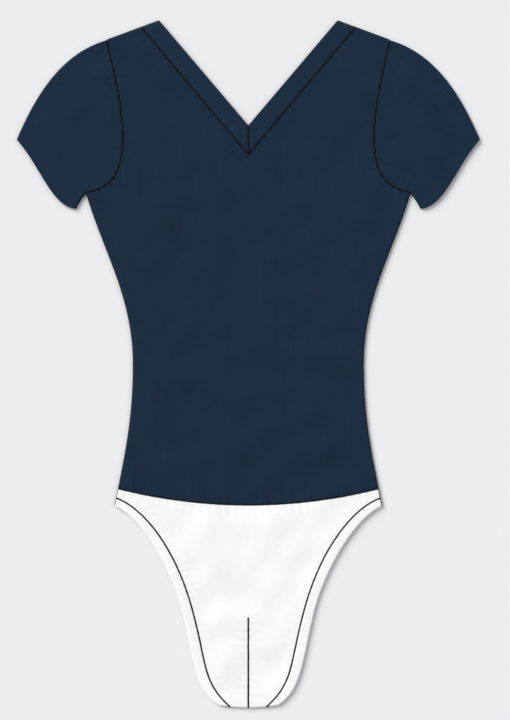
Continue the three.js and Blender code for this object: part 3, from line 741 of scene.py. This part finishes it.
def knit(name, colour, clouds, streaks, painted_gap_shade, sheen, roughness):
    """Jersey in one colour. clouds and streaks are how far its colour strays, painted_gap_shade how dark the
    gaps between the loops are painted, as shade.
    """
    material = bpy.data.materials.new(name)
    material.use_nodes = True
    tree = material.node_tree
    shader = tree.nodes["Principled BSDF"]
    shader.inputs["Roughness"].default_value = roughness
    shader.inputs["Sheen Weight"].default_value = sheen
    shader.inputs["Sheen Roughness"].default_value = SHEEN_ROUGHNESS
    shader.inputs["Specular IOR Level"].default_value = SHINE
    uv = tree.nodes.new("ShaderNodeUVMap")
    uv.uv_map = "cloth"
    split = tree.nodes.new("ShaderNodeSeparateXYZ")
    tree.links.new(uv.outputs[0], split.inputs[0])
    across, along = split.outputs[0], split.outputs[1]
    loops = knit_loops(tree, along, across)

    # painted shade: the colour is darker in the gaps between the loops and lighter on their tops
    shade = sum_node(tree, "MULTIPLY_ADD", loops, painted_gap_shade, 1 - painted_gap_shade * UNSHADED_LOOP_HEIGHT)
    cloud = sum_node(tree, "MULTIPLY_ADD", uneven(tree, along, across, "clouds"), 2 * clouds, -clouds)
    streak = sum_node(tree, "MULTIPLY_ADD", uneven(tree, along, across, "streaks"), 2 * streaks, -streaks)
    tint = tree.nodes.new("ShaderNodeVectorMath")
    tint.operation = "SCALE"
    tint.inputs[0].default_value = colour
    shade = sum_node(tree, "ADD", shade, sum_node(tree, "ADD", cloud, streak))
    tree.links.new(shade, tint.inputs["Scale"])
    tree.links.new(tint.outputs[0], shader.inputs["Base Color"])

    bump = tree.nodes.new("ShaderNodeBump")
    bump.inputs["Distance"].default_value = LOOP_DEPTH
    tree.links.new(knit_height(tree, along, across, loops), bump.inputs["Height"])
    tree.links.new(bump.outputs[0], shader.inputs["Normal"])
    return material


# %% The four knits
NAVY = (0.0068, 0.0210, 0.0450)
WHITE = (0.885, 0.885, 0.88)
finish = {}
for slot, name, colour, clouds, streaks, painted_gap_shade, sheen, roughness in [
    ("dark_knit", "navy_jersey", NAVY, 0.22, 0.16, 0.30, 0.03, 0.8),
    ("dark_band", "navy_band", NAVY, 0.18, 0.12, 0.30, 0.035, 0.78),
    ("white_knit", "white_jersey", WHITE, 0.025, 0.02, 0.12, 0.10, 0.8),
    ("white_binding", "white_binding", WHITE, 0.02, 0.015, 0.10, 0.10, 0.76),
]:
    finish[slot] = knit(name, colour, clouds, streaks, painted_gap_shade, sheen, roughness)
print("knits:", sorted(m.name for m in finish.values()))

# %% [markdown]
# ## Front and back of the body
#
# Front and back are cut alike, from the shoulders down to the seam with the brief. Half an outline is enough,
# because the other half is the same curves walked backwards in a mirror. The wales of a bodice run straight
# up, so its pattern places serve as they are for the grain. The back could be a copy of the front, but only
# its edges and its plain underside ever show, so its points are strewn wider.

# %% Cut the body
def both_halves(curves):
    """A whole outline from its left half, which starts and ends on the centre line."""
    other = [Curve(c.back().places * (-1, 1)) for c in reversed(curves)]
    return [*curves, *other]


body_side = side_low.part(join_walk, side_low.length)
body_outline = both_halves([
    join.beside(HALF_GAP),
    body_side,
    side_high,
    armhole.beside(HALF_GAP),
    line(shoulder_point, band_point),
    neck_seam.beside(-HALF_GAP).back(),
])
body_seams = {"closed": [side_low, side_high, shoulder], "sewn": [join, armhole, neck_seam]}
for name, layer, fine, coarse in [("front_body", 1, 1.9, 3.6), ("back_body", -1, 3.5, 8)]:
    points, faces = strewn(body_outline, fine, coarse, belt=18)
    laid, faces = one_layer(points, faces, layer, thick=CLOTH, **body_seams)
    shell(name, "dark_knit", laid, faces, points)
    if layer > 0:
        print("lowest point of the front's inner face:", (laid[0][:, 2] - laid[3]).min().round(2), "mm")

# %% [markdown]
# ## Sleeves
#
# Each sleeve is one piece, folded along its top edge, set into the armhole and sewn to itself under the arm.
# So its ground is cut once and laid twice, in the front and in the back layer, and the two stay joined along
# the fold. Two pieces that only touch there would show a line where a sleeve has none. The grain follows the
# arm. The open end is turned up inside, so it is round and shows no raw edge.

# %% Cut the sleeves
sleeve_outline = [
    underarm_seam,
    hem,
    sleeve_fold,
    armhole.beside(-HALF_GAP).back(),
]
arm = np.array(sleeve_top) - np.array(shoulder_point)
arm = arm / np.hypot(*arm)
arm_turn = np.array([[arm[1], arm[0]], [-arm[0], arm[1]]])  # turns the arm to run along the wales
sleeve_ground = strewn(sleeve_outline, fine=1.9, coarse=3.6, belt=14)
sleeve_edges = {"closed": [underarm_seam], "sewn": [armhole], "free": [hem]}
for side in ["left", "right"]:
    points, faces = sleeve_ground if side == "left" else mirrored(*sleeve_ground)
    laid, faces, kept = round_a_fold(points, faces, [sleeve_fold], thick=CLOTH, **sleeve_edges)
    grain = (half(points) @ arm_turn)[kept]
    shell(f"sleeve_{side}", "dark_knit", laid, faces, grain)

# %% [markdown]
# ## Brief
#
# The white brief is a front and a back, sewn to the body at the waist end. A short seam runs up the centre
# of the front. It could be a dark line in the material, but thread lies in a groove, so the outline goes up
# one side of the seam and down the other. At the crotch the front and the back meet.

# %% Cut the brief
brief_half = [
    crotch.part(HALF_GAP, crotch.to_height(seam_low[1])),
    leg_seam.beside(HALF_GAP),
    side_low.part(leg_seam_walk, join_walk),
    join.beside(-HALF_GAP).back(),
]
slit = [line((-HALF_GAP, 0), centre_seam.places[1]), line(centre_seam.places[1], (HALF_GAP, 0))]
brief_seams = {"closed": [crotch, side_low], "sewn": [join, leg_seam]}
for name, layer, fine, coarse in [("brief_front", 1, 1.7, 3.4), ("brief_back", -1, 3.5, 8)]:
    outline = both_halves(brief_half)
    edges = dict(brief_seams)
    if layer > 0:
        outline = [*outline, *slit]
        edges["sewn"] = [*brief_seams["sewn"], centre_seam]
    points, faces = strewn(outline, fine, coarse, belt=16)
    laid, faces = one_layer(points, faces, layer, thick=CLOTH, **edges)
    shell(name, "white_knit", laid, faces, points)

# %% [markdown]
# ## Neckband
#
# The neck is finished with a strip folded double, in quarters that meet at the point of the V in a mitre and
# at the shoulders. Such a strip is round at its fold and plump along its middle, and its wales run across it,
# because it is cut across the knit to let it stretch. A swollen edge of the body would look much alike from
# afar, but it would keep the body's grain. As pieces of their own, the quarters have theirs: it is measured
# along the seam and away from it.

# %% Cut the neckband
CROWN = 0.25  # how plump the upper side of a strip is, in mm. Its underside lies flat on the table.
band_outline = [
    neck_seam.beside(HALF_GAP),
    line(band_point, neck_point),
    neckline,
    mitre.beside(HALF_GAP),
]
band_ground = strewn(band_outline, fine=1.3, coarse=2.0, belt=6)
band_edges = {"closed": [shoulder], "sewn": [neck_seam, mitre], "free": [neckline]}
for side in ["left", "right"]:
    points, faces = band_ground if side == "left" else mirrored(*band_ground)
    across, _, run, _ = near([neck_seam], half(points))
    for layer, where in [(1, "front"), (-1, "back")]:
        name = f"neckband_{where}_{side}"
        laid, turned = one_layer(points, faces, layer, thick=BAND, crown=CROWN, **band_edges)
        shell(name, "dark_band", laid, turned, np.stack([run, across], -1))

# %% [markdown]
# ## Leg bindings
#
# Each leg has a narrower white strip, which runs down the front of the leg, round the crotch and up the
# back. It is one piece, folded over at the crotch as a sleeve is along its top, so it is laid the same way.
# Its ground is curved and only about a centimetre wide, so its points are strewn closer than on a panel.

# %% Cut the leg bindings
binding_outline = [
    crotch.part(crotch.to_height(seam_low[1]), crotch.length),
    leg_edge,
    side_low.part(0, leg_seam_walk),
    leg_seam.beside(-HALF_GAP).back(),
]
binding_ground = strewn(binding_outline, fine=1.1, coarse=1.6, belt=3.5)
binding_edges = {"closed": [side_low], "sewn": [leg_seam], "free": [leg_edge]}
for side in ["left", "right"]:
    points, faces = binding_ground if side == "left" else mirrored(*binding_ground)
    across, _, run, _ = near([leg_seam], half(points))
    laid, faces, kept = round_a_fold(points, faces, [crotch], thick=BAND, crown=CROWN, **binding_edges)
    grain = np.stack([run, across], -1)[kept]
    shell(f"leg_binding_{side}", "white_binding", laid, faces, grain)

# %% [markdown]
# ## One stitch
#
# The seams show as dark lines, on the white brief too, so they are sewn with a near-black thread. A stretch
# garment needs a stitch that gives, such as a chain of loops, each drawn through the one before. One loop is
# two soft strands that part and meet again. A curve with a round profile would give a strand too, but a few
# rings of points are lighter, and more than a thousand loops are to come.

# %% One loop of thread
STITCH, THREAD, LOOP_HALF_WIDTH = 3.6, 0.52, 0.60  # length, radius and half width in mm
RINGS, SIDES = 7, 6
OVERLAP = 1.22  # a loop's length in stitches, so that it reaches into the next one
BOW = 0.5  # under 1, so that a loop opens fast and stays wide
DIP = 0.12  # mm that a strand lies lower in its middle, and as much higher at its ends
SWELL, TIP = 2.2, 0.35  # how fast a strand swells from its tips, and how thick a tip is


def strand(bow):
    """A round strand from the start of a stitch to its end, with its middle bowed out sideways."""
    share = np.linspace(0, 1, RINGS)
    along = (share - 0.5) * STITCH * OVERLAP
    sideways = bow * np.sin(math.pi * share) ** BOW
    height = DIP * np.cos(2 * math.pi * share)
    radius = THREAD * np.clip(np.sin(math.pi * share) * SWELL, TIP, 1)
    angle = np.arange(SIDES) * math.tau / SIDES
    ring_side, ring_up = np.cos(angle), np.sin(angle)
    places = np.stack([
        np.repeat(along, SIDES),
        np.repeat(sideways, SIDES) + np.outer(radius, ring_side).ravel(),
        np.repeat(height, SIDES) + np.outer(radius, ring_up).ravel(),
    ], -1)
    faces = []
    for i in range(RINGS - 1):
        for j in range(SIDES):
            k = (j + 1) % SIDES
            faces.append([i * SIDES + j, i * SIDES + k, (i + 1) * SIDES + k, (i + 1) * SIDES + j])
    faces.append(list(range(SIDES)))
    faces.append(list(range(RINGS * SIDES - 1, (RINGS - 1) * SIDES - 1, -1)))
    return places, faces


strands = [strand(LOOP_HALF_WIDTH), strand(-LOOP_HALF_WIDTH)]
print("one loop has", sum(len(places) for places, _ in strands), "points")

# %% [markdown]
# ## Thread
#
# Sewing thread is spun from plies that wind round each other, with grooves between them. Its twist is far
# finer than a picture shows, so it isn't modelled: a wave texture that runs slantwise gives it a little
# relief and paints shade into its grooves, darker between the plies. The thread is matt, as a soft one for
# knits is.

# %% Spin the thread
PLIES = 900  # the scale of the wave, which is how close the plies lie
TWIST_UNEVEN = 1.5
PLY_DEPTH = 0.00006  # metres
PLY_GROOVE_SHADE, PLY_LIGHT = (0.0015, 0.0030, 0.0045, 1), (0.0050, 0.0080, 0.0115, 1)

thread = bpy.data.materials.new("dark_thread")
thread.use_nodes = True
tree = thread.node_tree
shader = tree.nodes["Principled BSDF"]
shader.inputs["Roughness"].default_value = 0.7
shader.inputs["Specular IOR Level"].default_value = SHINE
place = tree.nodes.new("ShaderNodeTexCoord")
twist = tree.nodes.new("ShaderNodeTexWave")
twist.bands_direction = "DIAGONAL"
twist.inputs["Scale"].default_value = PLIES
twist.inputs["Distortion"].default_value = TWIST_UNEVEN
tree.links.new(place.outputs["Object"], twist.inputs["Vector"])
# painted shade: the ramp paints the grooves between the plies darker than their ridges
ply = tree.nodes.new("ShaderNodeValToRGB")
ply.color_ramp.elements[0].color = PLY_GROOVE_SHADE
ply.color_ramp.elements[1].color = PLY_LIGHT
tree.links.new(twist.outputs["Fac"], ply.inputs["Fac"])
tree.links.new(ply.outputs["Color"], shader.inputs["Base Color"])
groove = tree.nodes.new("ShaderNodeBump")
groove.inputs["Distance"].default_value = PLY_DEPTH
tree.links.new(twist.outputs["Fac"], groove.inputs["Height"])
tree.links.new(groove.outputs[0], shader.inputs["Normal"])
finish["dark_thread"] = thread
print("thread:", thread.name, "at", THREAD, "mm radius")

# %% [markdown]
# ## Sewing the panels together
#
# A seam is sewn from one end to the other with even stitches, in the groove between the two panels. The
# same rules that laid the cloth tell where the groove is and which way it faces. So each loop is set down
# there, along the seam, with small differences from loop to loop. A seam of linked copies would be lighter,
# but one finished mesh for each seam stays with the garment wherever it goes.

# %% Where the stitches go
THREAD_LIFT = 0.36  # mm above the bottom of the groove
THREAD_LIFT_UNDER = 0.4  # share of it under the back, where the thread stays inside the groove
END_ROOM = 0.5  # mm left free at the ends of a seam
AHEAD = 0.4  # mm walked back and forth along a seam to tell its direction


def stitches(seam, layer, side, edges, first_room=END_ROOM, lift=THREAD_LIFT):
    """Middles and directions of the stitches along one seam, in the front or the back layer."""
    sewn = seam.length - first_room - END_ROOM
    count = round(sewn / STITCH)
    walk = first_room + (np.arange(count) + 0.5) * sewn / count
    found = []
    if layer < 0:
        lift *= THREAD_LIFT_UNDER
    for step in (-AHEAD, 0, AHEAD):
        places = seam.after(walk + step) * (side, 1)
        middle, out, _, _ = lay(places, layer, CLOTH, **edges)
        found.append(middle + out * (CLOTH / 2 - ROLL + lift))
    ahead = found[2] - found[0]
    ahead /= np.linalg.norm(ahead, axis=1)[:, None]
    return found[1], ahead, out


places, _, _ = stitches(join, 1, 1, {"closed": [side_low]})
print("half of the waist seam takes", len(places), "stitches")

# %% Sew a seam
SIZE_SPREAD = 0.035  # how unlike the loops are, as a share of their size
PLACE_SPREAD = 0.05  # mm that they stray to the side


def sew(name, seam, edges, sides=(1, -1), layers=(1, -1), first_room=END_ROOM, lift=THREAD_LIFT):
    """One piece of thread: a seam on the given sides of the garment and in the given layers."""
    points, faces = [], []
    first = 0
    for layer in layers:
        for side in sides:
            middles, ahead, up = stitches(seam, layer, side, edges, first_room, lift)
            beside = np.cross(up, ahead)
            size = rng.normal(1, SIZE_SPREAD, (len(middles), 3))
            middles = middles + beside * rng.normal(0, PLACE_SPREAD, len(middles))[:, None]
            for places, strand_faces in strands:
                forward, sideways, upward = (places * size[:, None]).transpose(2, 0, 1)[..., None]
                placed = middles[:, None] + forward * ahead[:, None]
                placed = placed + sideways * beside[:, None] + upward * up[:, None]
                points.append(placed.reshape(-1, 3))
                for _ in middles:
                    faces.extend([[first + i for i in face] for face in strand_faces])
                    first += len(places)
    points = np.concatenate(points)
    points[:, 1] -= BODY_LENGTH / 2
    points[:, 2] = np.maximum(points[:, 2], 0)
    mesh = bpy.data.meshes.new(name)
    mesh.from_pydata((points / MM_PER_METRE).tolist(), [], faces)
    mesh.shade_smooth()
    mesh.materials.append(thread)
    seam_thread = bpy.data.objects.new(name, mesh)
    scene.collection.objects.link(seam_thread)
    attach(seam_thread, "root")
    print(f"{name}: {len(mesh.polygons)} faces, lowest point {points[:, 2].min().round(2)} mm")


# %% Sew the panels together
MITRE_LIFT = 0.75  # mm, because the strips of the neckband are thicker than one layer

sew("armhole_stitches", armhole, {"closed": [side_high, underarm_seam, shoulder], "fold": [sleeve_fold]})
sew("waist_stitches", join, {"closed": [side_low]}, first_room=0)
sew("neckband_stitches", neck_seam, {"closed": [shoulder]})
sew("leg_stitches", leg_seam, {"closed": [side_low], "fold": [crotch]})
sew("mitre_stitches", mitre, {}, sides=(1,), lift=MITRE_LIFT)
sew("centre_stitches", centre_seam, {"fold": [crotch]}, sides=(1,), layers=(1,))

# %% [markdown]
# ## Sewing the front to the back
#
# The seams down the sides, under the arms and over the shoulders lie on the outline, where the two layers
# meet. They face sideways, so the same stitch is turned on its side there, and one row serves both layers.
# From above it shows as a thin dark edge.

# %% Sew the front to the back
EDGE_LIFT = 0.6  # mm, higher than in a groove, because the crease between the layers is shallow
side_seam = Curve([*side_low.places, *side_high.places[1:]])
outer_seams = {"side_stitches": side_seam, "underarm_stitches": underarm_seam, "shoulder_stitches": shoulder}
for name, seam in outer_seams.items():
    sew(name, seam, {"closed": [seam]}, layers=(1,), lift=EDGE_LIFT)

# %% [markdown]
# ## The cut of each piece
#
# Each piece was flat cloth before it was laid, and here its cut is measured. The body and
# the brief lie as they were cut. A sleeve and a leg binding are twice what one layer shows, because they go
# on round their folds.

# %% Measure the cuts
RULER = 2  # mm from one measured place to the next


def ground(curves):
    """Area inside a closed outline, in square metres."""
    x, y = ring(curves, RULER).T
    return abs((x * np.roll(y, -1) - np.roll(x, -1) * y).sum()) / 2 / MM_PER_METRE**2


def cut_size(places, unfolded=1):
    """Width and length of a cut, in metres. unfolded is 2 where the piece is folded along its length."""
    width, length = np.ptp(places, axis=0) / MM_PER_METRE
    return (width * unfolded, length)


def strip_size(width, length):
    return (width / MM_PER_METRE, length / MM_PER_METRE)


brief_outline = both_halves(brief_half)
cuts = {
    "body": cut_size(ring(body_outline, RULER)),
    "brief": cut_size(ring(brief_outline, RULER)),
    "sleeve": cut_size(ring(sleeve_outline, RULER) @ arm_turn, unfolded=2),
    "neckband": strip_size(BAND_WIDTH, (neck_seam.length + neckline.length) / 2),
    "binding": strip_size(BINDING_AT_CROTCH, leg_seam.length + leg_edge.length),
}
for name, (width, length) in cuts.items():
    print(name, "is cut to", round(width, 3), "by", round(length, 3), "m")

# %% Areas of the sheets, worked out but not kept
ground(body_outline)
ground(body_outline)
ground(brief_outline)
ground(brief_outline)
for side in ["left", "right"]:
    2 * ground(sleeve_outline)
    ground(band_outline)
    ground(band_outline)
    2 * ground(binding_outline)
